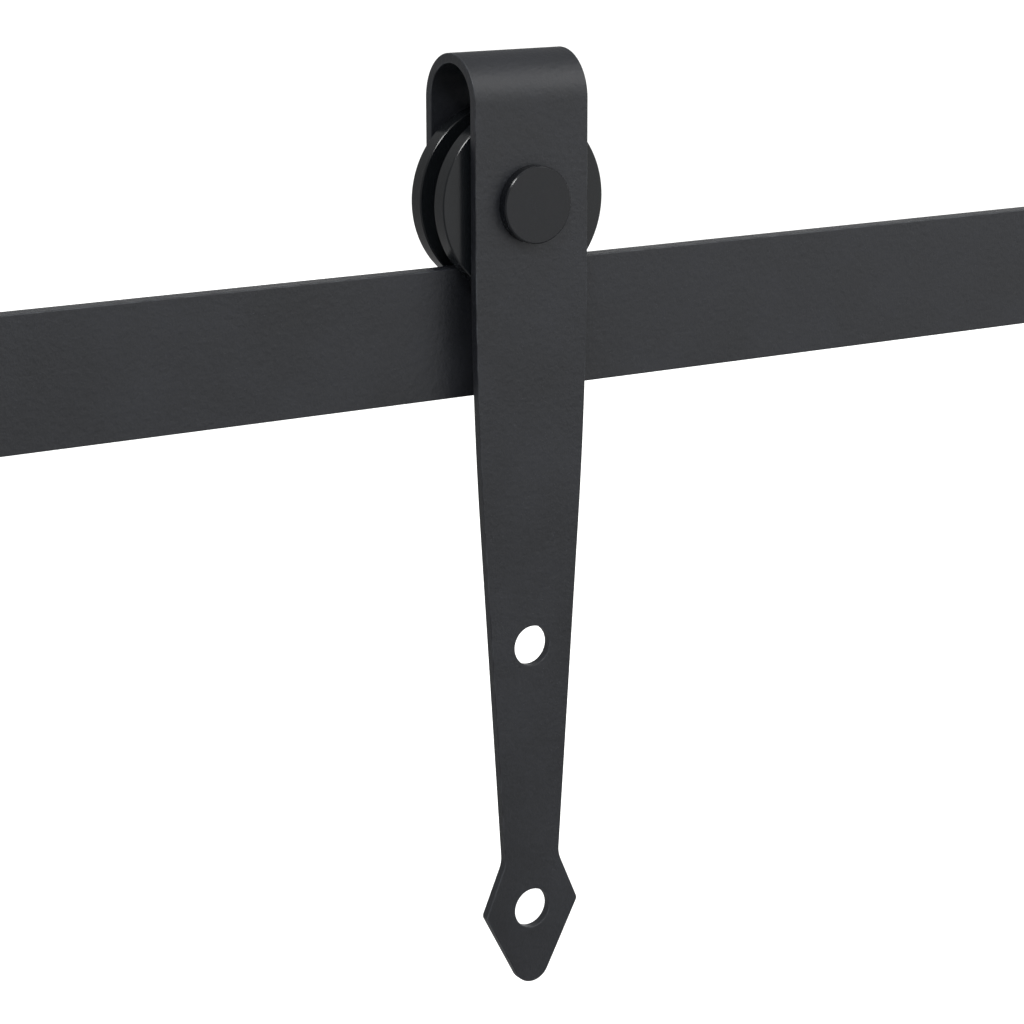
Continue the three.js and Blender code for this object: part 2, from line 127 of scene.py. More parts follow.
def smoothShade(mesh, sharpAngle=35):  # smooth over rounded corners, sharp at real ones
    mesh.shade_smooth()
    mesh.set_sharp_from_angle(angle=radians(sharpAngle))


def meshObject(name, bm, weld=1e-7):
    bmesh.ops.remove_doubles(bm, verts=bm.verts, dist=weld)
    bmesh.ops.recalc_face_normals(bm, faces=bm.faces)
    mesh = bpy.data.meshes.new(name)
    bm.to_mesh(mesh)
    bm.free()
    smoothShade(mesh)
    obj = bpy.data.objects.new(name, mesh)
    bpy.context.scene.collection.objects.link(obj)
    return obj


# Gives 1 to the narrow strips that round the corners and 0 to the rest, for the wear in the materials.
def markEdges(mesh, bend=radians(9), widest=mm):
    bm = bmesh.new()
    bm.from_mesh(mesh)
    turns = {e.index for e in bm.edges if e.is_manifold and e.calc_face_angle_signed() > bend}
    wear = []
    for face in bm.faces:
        middles = [(e.verts[0].co + e.verts[1].co) / 2 for e in face.edges if e.index in turns]
        narrow = any((a - b).length < widest for a, b in combinations(middles, 2))
        isStrip = narrow and len(face.verts) <= 4  # a face round a hole has more
        wear += [float(isStrip)] * len(face.verts)
    bm.free()
    mesh.attributes.new("edgeWear", "FLOAT", "CORNER").data.foreach_set("value", wear)


def baked(obj):  # the piece's mesh with its modifiers worked in
    bpy.context.view_layer.update()
    depsgraph = bpy.context.evaluated_depsgraph_get()
    made = bpy.data.meshes.new_from_object(obj.evaluated_get(depsgraph), depsgraph=depsgraph)
    obj.modifiers.clear()
    obj.data = made
    return obj


def settle(obj, body, slot, material, *nodes):  # the last step for every piece
    if material:
        obj.data.materials.clear()
        obj.data.materials.append(material)
    weighted = obj.modifiers.new("flat faces", "WEIGHTED_NORMAL")  # rounded corners leave the flats flat
    weighted.keep_sharp = True
    baked(obj)
    markEdges(obj.data)
    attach(obj, body)
    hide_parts(*nodes)
    return obj


# Sweeps a profile round local Z. A ring is (radius, height), or a function of the angle that gives one.
def turnedMesh(rings, place, facets=96, closed=True):
    bm = bmesh.new()
    rows = []
    for ring in rings:
        row = []
        for i in range(facets):
            angle = 2 * pi * i / facets
            radius, height = ring(angle) if callable(ring) else ring
            row.append(bm.verts.new(place @ Vector((radius * cos(angle), radius * sin(angle), height))))
        rows.append(row)
    pairs = list(zip(rows, rows[1:] + rows[:1])) if closed else list(zip(rows, rows[1:]))
    for lower, upper in pairs:
        for i in range(facets):
            j = (i + 1) % facets
            bm.faces.new((lower[i], lower[j], upper[j], upper[i]))
    return bm


def openRings(corners):  # [radius, height, fillet] corners in millimetres to an open profile's rings
    return [tuple(p) for p in rounded([(r * mm, h * mm, f * mm) for r, h, f in corners], closed=False)]


def turnedPiece(name, corners, origin, axis=alongY, facets=96):
    solid = corners[0][0] == 0  # a solid profile starts and ends on the axis, a ring's closes on itself
    points = rounded([(r * mm, h * mm, f * mm) for r, h, f in corners], closed=not solid)
    return meshObject(name, turnedMesh([tuple(p) for p in points], standOn(origin, axis), facets, not solid))


def hexRadius(angle, flats):  # distance from the axis to the side of a hexagon
    return flats / 2 / cos((angle + pi / 6) % (pi / 3) - pi / 6)


# A flat plate with softened edges: outline and holes in (u, v), thickness along w. Material is on the left.
def plateMesh(outline, holes, thickness, edge, toSpace):
    arcSteps = 4
    mitreLimit = 0.2
    flatBand = 0.3 * mm  # keeps the flat faces flat-shaded up to their edges
    sweep = [(edge * (1 - sin(a)), edge * (1 - cos(a))) for a in
             [pi / 2 * i / arcSteps for i in range(arcSteps + 1)]]
    lower = [(edge + flatBand, 0)] + sweep
    upper = [(inset, thickness - w) for inset, w in reversed(lower)]
    bm = bmesh.new()
    capEdges = []
    for loop in [outline, *holes]:
        count = len(loop)
        spokes = []
        for i, point in enumerate(loop):
            before = (point - loop[i - 1]).normalized()
            after = (loop[(i + 1) % count] - point).normalized()
            mitre = Vector((-before.y - after.y, before.x + after.x))
            spokes.append(mitre / max(mitreLimit, mitre.length_squared / 2))
        rows = []
        for inset, w in lower + upper:
            rows.append([bm.verts.new(toSpace @ Vector((p.x + n.x * inset, p.y + n.y * inset, w)))
                         for p, n in zip(loop, spokes)])
        for low, high in zip(rows, rows[1:]):
            for i in range(count):
                j = (i + 1) % count
                bm.faces.new((low[i], low[j], high[j], high[i]))
        capEdges.append(([bm.edges.get((rows[0][i], rows[0][(i + 1) % count])) for i in range(count)],
                         [bm.edges.get((rows[-1][i], rows[-1][(i + 1) % count])) for i in range(count)]))
    for side in (0, 1):
        edges = [e for loopEdges in capEdges for e in loopEdges[side]]
        bmesh.ops.triangle_fill(bm, edges=edges, use_beauty=True)
    return bm


def perMetre(sizeMm):  # noise scale whose features are about this size
    return 1 / (sizeMm * mm)


def newMaterial(name, **fixed):
    material = bpy.data.materials.new(name)
    material.use_nodes = True
    tree = material.node_tree
    shader = tree.nodes["Principled BSDF"]
    for socket, value in fixed.items():
        shader.inputs[socket.replace("_", " ")].default_value = value
    place = addNode(tree, "ShaderNodeTexCoord").outputs["Object"]
    return material, tree, shader, place


def addWear(tree, shader, place, colour, rough, look):  # corners rubbed a little lighter and smoother
    edge = addNode(tree, "ShaderNodeAttribute", attribute_name="edgeWear")
    patches = addNode(tree, "ShaderNodeTexNoise",
                      {"Vector": place, "Scale": perMetre(look["wearMm"]), "Detail": 3.0})
    rubbed = addNode(tree, "ShaderNodeMapRange",
                     {"Value": patches.outputs["Fac"], "From Min": 0.4, "From Max": 0.65,
                      "To Max": look["wear"]})
    mask = addNode(tree, "ShaderNodeMath", {0: edge.outputs["Fac"], 1: rubbed.outputs[0]},
                   operation="MULTIPLY")
    tint = addNode(tree, "ShaderNodeMix", {0: mask.outputs[0], 6: colour, 7: linearColour(look["worn"])},
                   data_type="RGBA")
    shine = addNode(tree, "ShaderNodeMix", {0: mask.outputs[0], 2: rough, 3: look["roughLow"] * 0.8})
    tree.links.new(tint.outputs[2], shader.inputs["Base Color"])
    tree.links.new(shine.outputs[0], shader.inputs["Roughness"])


# Polyester powder coat, sprayed and baked: dark, satin, with orange peel and a fine grain in its shine.
powderCoatLook = {
    "dark": "#0d0f13", "light": "#15171c", "ior": 1.5,
    "peelMm": 1.5, "peelDepthMm": 0.12,
    "grainMm": 0.6, "grainDepthMm": 0.06,  # real grain is finer, drawn as coarse as it needs to show
    "cloudMm": 26, "roughLow": 0.42, "roughHigh": 0.54, "worn": "#303337", "wear": 0.5, "wearMm": 7,
}


def powderCoat(name, look, grainScale=1.0):
    material, tree, shader, place = newMaterial(name, IOR=look["ior"])
    grain = addNode(tree, "ShaderNodeTexNoise",
                    {"Vector": place, "Scale": perMetre(look["grainMm"] * grainScale), "Detail": 2.0})
    peel = addNode(tree, "ShaderNodeTexNoise",
                   {"Vector": place, "Scale": perMetre(look["peelMm"] * grainScale), "Detail": 1.0})
    cloud = addNode(tree, "ShaderNodeTexNoise",
                    {"Vector": place, "Scale": perMetre(look["cloudMm"]), "Detail": 3.0})
    speckle = addNode(tree, "ShaderNodeMath", {0: grain.outputs["Fac"], 1: cloud.outputs["Fac"]},
                      operation="ADD")
    shade = addNode(tree, "ShaderNodeMapRange",
                    {"Value": speckle.outputs[0], "From Min": 0.75, "From Max": 1.25})
    colour = addNode(tree, "ShaderNodeMix",
                     {0: shade.outputs[0], 6: linearColour(look["dark"]), 7: linearColour(look["light"])},
                     data_type="RGBA")
    rough = addNode(tree, "ShaderNodeMapRange",
                    {"Value": speckle.outputs[0], "From Min": 0.7, "From Max": 1.3,
                     "To Min": look["roughLow"], "To Max": look["roughHigh"]})
    coarse = addNode(tree, "ShaderNodeBump",
                     {"Height": peel.outputs["Fac"], "Distance": look["peelDepthMm"] * mm})
    fine = addNode(tree, "ShaderNodeBump",
                   {"Height": grain.outputs["Fac"], "Distance": look["grainDepthMm"] * mm,
                    "Normal": coarse.outputs[0]})
    addWear(tree, shader, place, colour.outputs[2], rough.outputs[0], look)
    tree.links.new(fine.outputs[0], shader.inputs["Normal"])
    return material


# Anything with a lathe's fine rings: the pattern follows the distance from the piece's axis.
def turnedFinish(name, look, axisPlace, **fixed):
    material, tree, shader, place = newMaterial(name, **fixed)
    centred = addNode(tree, "ShaderNodeMapping", {"Vector": place, "Location": -Vector(axisPlace)})
    parts = addNode(tree, "ShaderNodeSeparateXYZ", {0: centred.outputs[0]})
    flat = addNode(tree, "ShaderNodeCombineXYZ", {"X": parts.outputs["X"], "Y": parts.outputs["Z"]})
    radius = addNode(tree, "ShaderNodeVectorMath", {0: flat.outputs[0]}, operation="LENGTH")
    along = addNode(tree, "ShaderNodeMath", {0: radius.outputs["Value"], 1: parts.outputs["Y"]},
                    operation="ADD")
    rings = addNode(tree, "ShaderNodeTexNoise",
                    {"W": along.outputs[0], "Scale": perMetre(look["ringMm"]), "Detail": 3.0},
                    noise_dimensions="1D")
    smudge = addNode(tree, "ShaderNodeTexNoise",
                     {"Vector": place, "Scale": perMetre(look["smudgeMm"]), "Detail": 4.0})
    mixed = addNode(tree, "ShaderNodeMath", {0: rings.outputs["Fac"], 1: smudge.outputs["Fac"]},
                    operation="ADD")
    rough = addNode(tree, "ShaderNodeMapRange",
                    {"Value": mixed.outputs[0], "From Min": 0.7, "From Max": 1.3,
                     "To Min": look["roughLow"], "To Max": look["roughHigh"]})
    colour = addNode(tree, "ShaderNodeMix",
                     {0: smudge.outputs["Fac"], 6: linearColour(look["dark"]),
                      7: linearColour(look["light"])},
                     data_type="RGBA")
    bump = addNode(tree, "ShaderNodeBump",
                   {"Height": rings.outputs["Fac"], "Distance": look["ringDepthMm"] * mm})
    addWear(tree, shader, place, colour.outputs[2], rough.outputs[0], look)
    tree.links.new(bump.outputs[0], shader.inputs["Normal"])
    return material


# Anything cast, moulded or chemically coloured: blotches in colour and shine over a fine skin.
def mouldedFinish(name, look, **fixed):
    material, tree, shader, place = newMaterial(name, **fixed)
    skin = addNode(tree, "ShaderNodeTexNoise",
                   {"Vector": place, "Scale": perMetre(look["skinMm"]), "Detail": 3.0})
    blotch = addNode(tree, "ShaderNodeTexNoise",
                     {"Vector": place, "Scale": perMetre(look["blotchMm"]), "Detail": 4.0, "Roughness": 0.6})
    shade = addNode(tree, "ShaderNodeMapRange",
                    {"Value": blotch.outputs["Fac"], "From Min": 0.35, "From Max": 0.65})
    colour = addNode(tree, "ShaderNodeMix",
                     {0: shade.outputs[0], 6: linearColour(look["dark"]), 7: linearColour(look["light"])},
                     data_type="RGBA")
    rough = addNode(tree, "ShaderNodeMapRange",
                    {"Value": blotch.outputs["Fac"], "From Min": 0.3, "From Max": 0.7,
                     "To Min": look["roughLow"], "To Max": look["roughHigh"]})
    bump = addNode(tree, "ShaderNodeBump",
                   {"Height": skin.outputs["Fac"], "Distance": look["skinDepthMm"] * mm})
    addWear(tree, shader, place, colour.outputs[2], rough.outputs[0], look)
    tree.links.new(bump.outputs[0], shader.inputs["Normal"])
    return material


axlePlace = (0, 0, axleZ)

strapCoat = powderCoat("satin_powder_coat_strap", powderCoatLook)  # the bend shows its grain in the light
railCoat = powderCoat("satin_powder_coat_rail", powderCoatLook, 1.15)
# Black acetal, turned: nearly black, smooth, a soft gloss broken by fine rings
wheelNylon = turnedFinish(
    "turned_black_acetal",
    {"dark": "#0a0c0e", "light": "#0e1012", "ringMm": 0.35, "ringDepthMm": 0.0012, "smudgeMm": 9,
     "roughLow": 0.16, "roughHigh": 0.26, "worn": "#1d1f22", "wear": 0.6, "wearMm": 5}, axlePlace, IOR=1.38)
# Black gloss paint over a turned steel head: darker and smoother than the strap's coat
headPaint = turnedFinish(
    "smooth_black_head_paint",
    {"dark": "#0a0b0e", "light": "#0d0f12", "ringMm": 0.5, "ringDepthMm": 0.0008, "smudgeMm": 7,
     "roughLow": 0.20, "roughHigh": 0.28, "worn": "#1d1f22", "wear": 0.5, "wearMm": 4}, axlePlace, IOR=1.38)
# Black oxide on steel: a thin dark skin with a brown cast, the metal's shine still in it
blackOxide = mouldedFinish(
    "black_oxide_steel",
    {"dark": "#232324", "light": "#323131", "skinMm": 0.3, "skinDepthMm": 0.004, "blotchMm": 2.5,
     "roughLow": 0.34, "roughHigh": 0.48, "worn": "#6a6a6b", "wear": 0.55, "wearMm": 1.5}, Metallic=1.0)
# Bright zinc plate: pale blue-white metal, faintly cloudy
zincPlate = mouldedFinish(
    "bright_zinc_plate",
    {"dark": "#a4a9ae", "light": "#c3c6c9", "skinMm": 0.25, "skinDepthMm": 0.003, "blotchMm": 3,
     "roughLow": 0.26, "roughHigh": 0.38, "worn": "#d4d6d8", "wear": 0.5, "wearMm": 2}, Metallic=1.0)
# Ground bearing steel: bright, with hairline grinding rings
bearingSteel = turnedFinish(
    "ground_bearing_steel",
    {"dark": "#bfc2c5", "light": "#cccfd1", "ringMm": 0.12, "ringDepthMm": 0.0006, "smudgeMm": 5,
     "roughLow": 0.12, "roughHigh": 0.22, "worn": "#d8dadb", "wear": 0.4, "wearMm": 2},
    axlePlace, Metallic=1.0)
# Nitrile seal: matt black with a moulded skin
sealRubber = mouldedFinish(
    "moulded_nitrile_seal",
    {"dark": "#101011", "light": "#171718", "skinMm": 0.2, "skinDepthMm": 0.006, "blotchMm": 4,
     "roughLow": 0.55, "roughHigh": 0.68, "worn": "#1f1f20", "wear": 0.5, "wearMm": 2}, IOR=1.5)
# Bumper rubber: softer and duller, with a pale bloom
bumperRubber = mouldedFinish(
    "moulded_bumper_rubber",
    {"dark": "#0c0c0d", "light": "#141415", "skinMm": 0.45, "skinDepthMm": 0.02, "blotchMm": 5,
     "roughLow": 0.62, "roughHigh": 0.8, "worn": "#1c1c1d", "wear": 0.5, "wearMm": 3}, IOR=1.4)
# Natural nylon: milky and slightly see-through
naturalNylon = mouldedFinish(
    "natural_nylon",
    {"dark": "#b7b8ae", "light": "#c6c7be", "skinMm": 0.3, "skinDepthMm": 0.004, "blotchMm": 3,
     "roughLow": 0.42, "roughHigh": 0.55, "worn": "#cccdc6", "wear": 0.4, "wearMm": 2},
    IOR=1.53, Subsurface_Weight=0.2, Subsurface_Scale=0.001)
# Glass-filled nylon cage: olive grey, dull, with a speckle of fibre
cagePolymer = mouldedFinish(
    "glass_filled_nylon_cage",
    {"dark": "#7e826c", "light": "#93967f", "skinMm": 0.2, "skinDepthMm": 0.01, "blotchMm": 0.6,
     "roughLow": 0.45, "roughHigh": 0.6, "worn": "#a5a892", "wear": 0.4, "wearMm": 1.5}, IOR=1.53)
print("materials made")


strapSizes = {
    "thickness": 3, "edge": 0.3,
    "taperStart": 17, "taperSlope": 0.066, "taperEase": 83,
    "neckDrop": 210.5, "neckFillet": 9,
    "headHalfWidth": 17.2, "headCorner": 2, "pointDrop": 260.2, "pointFillet": 6.5,
    "backLegDrop": 20, "backLegCorner": 10,
    "upperBoltDrop": 139.3, "lowerBoltDrop": 227.3, "boltHoleRadius": 6.4, "axleHoleRadius": 5.1,
    "bendCuts": 40,
}


def bendTree():  # rolls a flat bar round the top of the hanger; v runs up the front leg, w into the bar
    tree = bpy.data.node_groups.new("bendTheBar", "GeometryNodeTree")
    tree.interface.new_socket("Bar", in_out="INPUT", socket_type="NodeSocketGeometry")
    for name in ("Bend Start", "Outside Radius", "Middle Radius", "Front Face"):
        tree.interface.new_socket(name, in_out="INPUT", socket_type="NodeSocketFloat")
    tree.interface.new_socket("Finish", in_out="INPUT", socket_type="NodeSocketMaterial")
    tree.interface.new_socket("Strap", in_out="OUTPUT", socket_type="NodeSocketGeometry")
    given = addNode(tree, "NodeGroupInput").outputs
    spot = addNode(tree, "ShaderNodeSeparateXYZ", {0: addNode(tree, "GeometryNodeInputPosition")}).outputs

    outside, middle, face = given["Outside Radius"], given["Middle Radius"], given["Front Face"]
    past = addNode(tree, "ShaderNodeMath", {0: spot["Z"], 1: given["Bend Start"]}, operation="SUBTRACT")
    angle = addNode(tree, "ShaderNodeMath", {0: past, 1: middle}, operation="DIVIDE")
    held = addNode(tree, "ShaderNodeClamp", {"Value": angle, "Min": 0.0, "Max": pi})
    arc = addNode(tree, "ShaderNodeMath", {0: middle, 1: pi}, operation="MULTIPLY")
    over = addNode(tree, "ShaderNodeMath", {0: past, 1: arc}, operation="SUBTRACT")
    backLeg = addNode(tree, "ShaderNodeMath", {0: over, 1: 0.0}, operation="MAXIMUM")
    depth = addNode(tree, "ShaderNodeMath", {0: spot["Y"], 1: face}, operation="SUBTRACT")
    reach = addNode(tree, "ShaderNodeMath", {0: outside, 1: depth}, operation="SUBTRACT")
    cosine = addNode(tree, "ShaderNodeMath", {0: held}, operation="COSINE")
    sine = addNode(tree, "ShaderNodeMath", {0: held}, operation="SINE")
    across = addNode(tree, "ShaderNodeMath", {0: reach, 1: cosine}, operation="MULTIPLY")
    rise = addNode(tree, "ShaderNodeMath", {0: reach, 1: sine}, operation="MULTIPLY")
    back = addNode(tree, "ShaderNodeMath", {0: outside, 1: across}, operation="SUBTRACT")
    bentY = addNode(tree, "ShaderNodeMath", {0: back, 1: face}, operation="ADD")
    base = addNode(tree, "ShaderNodeMath", {0: spot["Z"], 1: given["Bend Start"]}, operation="MINIMUM")
    top = addNode(tree, "ShaderNodeMath", {0: base, 1: rise}, operation="ADD")
    bentZ = addNode(tree, "ShaderNodeMath", {0: top, 1: backLeg}, operation="SUBTRACT")
    bent = addNode(tree, "ShaderNodeCombineXYZ", {"X": spot["X"], "Y": bentY, "Z": bentZ})
    moved = addNode(tree, "GeometryNodeSetPosition", {"Geometry": given["Bar"], "Position": bent})
    real = addNode(tree, "GeometryNodeRealizeInstances", {0: moved})
    dressed = addNode(tree, "GeometryNodeSetMaterial", {"Geometry": real, "Material": given["Finish"]})
    addNode(tree, "NodeGroupOutput", {0: dressed})
    return tree


def runTree(obj, tree, values):  # gives the modifier its inputs, then turns the result into a plain mesh
    modifier = obj.modifiers.new(tree.name, "NODES")
    modifier.node_group = tree
    sockets = {item.name: item.identifier for item in tree.interface.items_tree if item.in_out == "INPUT"}
    for name, value in values.items():
        modifier[sockets[name]] = value
    return baked(obj)


def strapOutline(s, width, bendStart, middleRadius, axleBack):
    def halfWidth(drop):
        eased = min(max(drop - s["taperStart"], 0), s["taperEase"])
        straight = max(drop - s["taperStart"] - s["taperEase"], 0)
        return width / 2 - s["taperSlope"] * eased * eased / (2 * s["taperEase"]) - s["taperSlope"] * straight

    easeSteps = 16
    drops = [s["taperStart"] + s["taperEase"] * i / easeSteps for i in range(easeSteps + 1)]
    right = [(width / 2, bendStart + pi * middleRadius, 0), (width / 2, bendStart, 0)]
    right += [(halfWidth(drop), -drop, 0) for drop in drops]
    right += [(halfWidth(s["neckDrop"]), -s["neckDrop"], s["neckFillet"]),
              (s["headHalfWidth"], -s["lowerBoltDrop"], s["headCorner"])]
    left = [(-x, v, fillet) for x, v, fillet in reversed(right)]
    top = axleBack + s["backLegDrop"]
    corners = (left + [(-width / 2, top, s["backLegCorner"]), (width / 2, top, s["backLegCorner"])] + right
               + [(0, -s["pointDrop"], s["pointFillet"])])
    points = rounded([(x * mm, v * mm, fillet * mm) for x, v, fillet in corners], arcStep=radians(7))
    return points[::-1]  # anticlockwise, metal on the left


def makeStrap(s):
    width = (strapHigh.x - strapLow.x) / mm
    outside = (strapHigh.y - strapLow.y) / 2 / mm
    bendStart = (strapHigh.z - axleZ) / mm - outside
    middleRadius = outside - s["thickness"] / 2
    axleBack = bendStart + pi * middleRadius + bendStart  # the axle's height on the unrolled back leg
    outline = strapOutline(s, width, bendStart, middleRadius, axleBack)
    holes = [circleLoop(0, -s[drop] * mm, s["boltHoleRadius"] * mm)
             for drop in ("upperBoltDrop", "lowerBoltDrop")]
    holes += [circleLoop(0, v * mm, s["axleHoleRadius"] * mm) for v in (0, axleBack)]
    upright = Matrix(((1, 0, 0, 0), (0, 0, 1, strapFrontY), (0, 1, 0, axleZ), (0, 0, 0, 1)))
    bm = plateMesh(outline, holes, s["thickness"] * mm, s["edge"] * mm, upright)
    for i in range(s["bendCuts"] + 1):
        height = axleZ + (bendStart + pi * middleRadius * i / s["bendCuts"]) * mm
        bmesh.ops.bisect_plane(bm, geom=bm.verts[:] + bm.edges[:] + bm.faces[:], dist=1e-7,
                               plane_co=(0, 0, height), plane_no=(0, 0, 1))
    strap = meshObject("strap_bar", bm)
    runTree(strap, bendTree(), {
        "Bend Start": axleZ + bendStart * mm, "Outside Radius": outside * mm,
        "Middle Radius": middleRadius * mm, "Front Face": strapFrontY, "Finish": strapCoat})
    return settle(strap, "strap", "powder_coat", None, "strap")


makeStrap(strapSizes)
print("strap bent")


railSizes = {"edge": 0.35, "holeRadius": 4.5}


def makeRail(s):
    half = (railHigh.x - railLow.x) / 2
    high = (railHigh.z - railLow.z) / 2
    outline = [Vector(p) for p in ((-half, -high), (half, -high), (half, high), (-half, high))]
    spacers = [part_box(f"{side}_spacer") for side in ("left", "right")]
    holes = [circleLoop((a.x + b.x) / 2, 0, s["holeRadius"] * mm) for a, b in spacers]
    upright = Matrix(((1, 0, 0, 0), (0, 0, 1, railLow.y), (0, 1, 0, 0), (0, 0, 0, 1)))
    bm = plateMesh(outline, holes, railHigh.y - railLow.y, s["edge"] * mm, upright)
    return settle(meshObject("rail_bar", bm), "rail", "powder_coat", railCoat, "rail")


makeRail(railSizes)
print("rail made")


wheelSizes = {
    "rim": 28.5, "tread": 19.45, "width": 19.2, "groove": 8, "floor": 7.2, "rimChamfer": 0.35,
    "grooveChamfer": 0.35, "chamferEdge": 0.08, "floorFillet": 0.8, "bore": 13, "lip": 11.6, "lipEnd": -8.1,
    "ringStart": 8.05, "ringEnd": 9.1, "ringGroove": 13.6,
    "faceRecess": 0.4, "recessIn": 14.6, "recessOut": 18.4, "recessSlope": 0.7,
}


def makeWheel(s):
    half, rim, soft = s["width"] / 2, s["rim"], s["chamferEdge"]
    outer, inner, groove = s["rimChamfer"], s["grooveChamfer"], s["groove"] / 2
    recess = [(s["recessIn"], 0, 0.3), (s["recessIn"] + s["recessSlope"], s["faceRecess"], 0.4),
              (s["recessOut"] - s["recessSlope"], s["faceRecess"], 0.4), (s["recessOut"], 0, 0.3)]
    flange = [(rim - outer, half, soft), (rim, half - outer, soft), (rim, groove + inner, soft),
              (rim - inner, groove, soft), (s["tread"], s["floor"] / 2, s["floorFillet"])]
    front = [(r, depth - half, f) for r, depth, f in recess] + [(r, -h, f) for r, h, f in flange]
    back = [(r, half - depth, f) for r, depth, f in recess] + flange
    seat = [
        (s["bore"], half, 0.3), (s["bore"], s["ringEnd"], 0), (s["ringGroove"], s["ringEnd"], 0),
        (s["ringGroove"], s["ringStart"], 0), (s["bore"], s["ringStart"], 0),
        (s["bore"], s["lipEnd"], 0), (s["lip"], s["lipEnd"], 0.2), (s["lip"], -half, 0.25),
    ]
    wheel = turnedPiece("grooved_wheel", front + back[::-1] + seat, (0, wheelY, axleZ), facets=192)
    return settle(wheel, "wheel", "black_nylon", wheelNylon, "wheel")


makeWheel(wheelSizes)
print("wheel turned")


def threadTree(thinnest=0.05):  # a ridge wound round local Z, drawn in to a point at its end, on the shank
    tree = bpy.data.node_groups.new("windTheThread", "GeometryNodeTree")
    tree.interface.new_socket("Shank", in_out="INPUT", socket_type="NodeSocketGeometry")
    for name in ("Radius", "Ridge", "Start", "Length", "Turns", "Point Length"):
        tree.interface.new_socket(name, in_out="INPUT", socket_type="NodeSocketFloat")
    tree.interface.new_socket("Origin", in_out="INPUT", socket_type="NodeSocketVector")
    tree.interface.new_socket("Finish", in_out="INPUT", socket_type="NodeSocketMaterial")
    tree.interface.new_socket("Bolt", in_out="OUTPUT", socket_type="NodeSocketGeometry")
    given = addNode(tree, "NodeGroupInput").outputs

    spiral = addNode(tree, "GeometryNodeCurveSpiral",
                     {"Resolution": 30, "Rotations": given["Turns"], "Start Radius": given["Radius"],
                      "End Radius": given["Radius"], "Height": given["Length"], "Reverse": False})
    spot = addNode(tree, "ShaderNodeSeparateXYZ", {0: addNode(tree, "GeometryNodeInputPosition")}).outputs
    left = addNode(tree, "ShaderNodeMath", {0: given["Length"], 1: spot["Z"]}, operation="SUBTRACT")
    share = addNode(tree, "ShaderNodeMath", {0: left, 1: given["Point Length"]}, operation="DIVIDE")
    thin = addNode(tree, "ShaderNodeClamp", {"Value": share, "Min": thinnest, "Max": 1.0})
    thinX = addNode(tree, "ShaderNodeMath", {0: spot["X"], 1: thin}, operation="MULTIPLY")
    thinY = addNode(tree, "ShaderNodeMath", {0: spot["Y"], 1: thin}, operation="MULTIPLY")
    movedZ = addNode(tree, "ShaderNodeMath", {0: spot["Z"], 1: given["Start"]}, operation="ADD")
    narrowed = addNode(tree, "ShaderNodeCombineXYZ", {"X": thinX, "Y": thinY, "Z": movedZ})
    path = addNode(tree, "GeometryNodeSetPosition", {"Geometry": spiral, "Position": narrowed})
    profile = addNode(tree, "GeometryNodeCurvePrimitiveCircle", {"Resolution": 4, "Radius": given["Ridge"]})
    upright = addNode(tree, "GeometryNodeSetCurveNormal", {"Curve": path}, mode="Z_UP")
    ridge = addNode(tree, "GeometryNodeCurveToMesh",
                    {"Curve": upright, "Profile Curve": profile, "Fill Caps": True})
    placed = addNode(tree, "GeometryNodeTransform",  # the bolts lie along +Y: local Z becomes Y
                     {"Geometry": ridge, "Translation": given["Origin"], "Rotation": (-pi / 2, 0, 0)})
    joined = addNode(tree, "GeometryNodeJoinGeometry")
    tree.links.new(placed.outputs[0], joined.inputs[0])
    tree.links.new(given["Shank"], joined.inputs[0])
    real = addNode(tree, "GeometryNodeRealizeInstances", {0: joined})
    dressed = addNode(tree, "GeometryNodeSetMaterial", {"Geometry": real, "Material": given["Finish"]})
    addNode(tree, "NodeGroupOutput", {0: dressed})
    return tree


threads = threadTree()


axleSizes = {
    "headRadius": 11.8, "headThickness": 3.6, "headChamfer": 0.4, "chamferEdge": 0.08, "headGap": 0.05,
    "shank": 4.98, "root": 4.35, "runOut": 0.7, "threadStart": 24, "ridge": 0.62, "pitch": 1.5,
    "threadPoint": 0.2, "threadStop": 0.3, "endChamfer": 0.9, "endTaper": 0.6,
    "boreRadius": 5.05, "boreEdge": 0.2, "sleeveEdge": 0.35, "washerBore": 5.25,
    "nutFlats": 17, "nutCollar": 2.2, "collarRadius": 7.9, "collarEdge": 0.6,
    "insertOuter": 6.95, "insertGap": 0.05, "insertEdge": 0.35,
}


def makeAxleBolt(s):
    length = (axleHigh.y - strapFrontY) / mm
    origin = Vector((0, strapFrontY, axleZ))
    headFront, headBack = -s["headThickness"], -s["headGap"]
    corners = [
        (0, headFront, 0), (s["headRadius"] - s["headChamfer"], headFront, s["chamferEdge"]),
        (s["headRadius"], headFront + s["headChamfer"], s["chamferEdge"]), (s["headRadius"], headBack, 0.15),
        (s["shank"], headBack, 0), (s["shank"], s["threadStart"], 0),
        (s["root"], s["threadStart"] + s["runOut"], 0), (s["root"], length - s["endChamfer"], 0),
        (s["root"] - s["endTaper"], length, 0.2), (0, length, 0),
    ]
    bolt = turnedPiece("axle_bolt_body", corners, origin, facets=128)
    threadLength = length - s["threadStart"] - s["endChamfer"] - s["threadStop"]
    runTree(bolt, threads, {
        "Radius": s["root"] * mm, "Ridge": s["ridge"] * mm, "Start": s["threadStart"] * mm,
        "Length": threadLength * mm, "Turns": threadLength / s["pitch"],
        "Point Length": s["threadPoint"] * mm, "Origin": origin, "Finish": headPaint})
    return settle(bolt, "axle", "powder_coat", None, "axle_bolt")


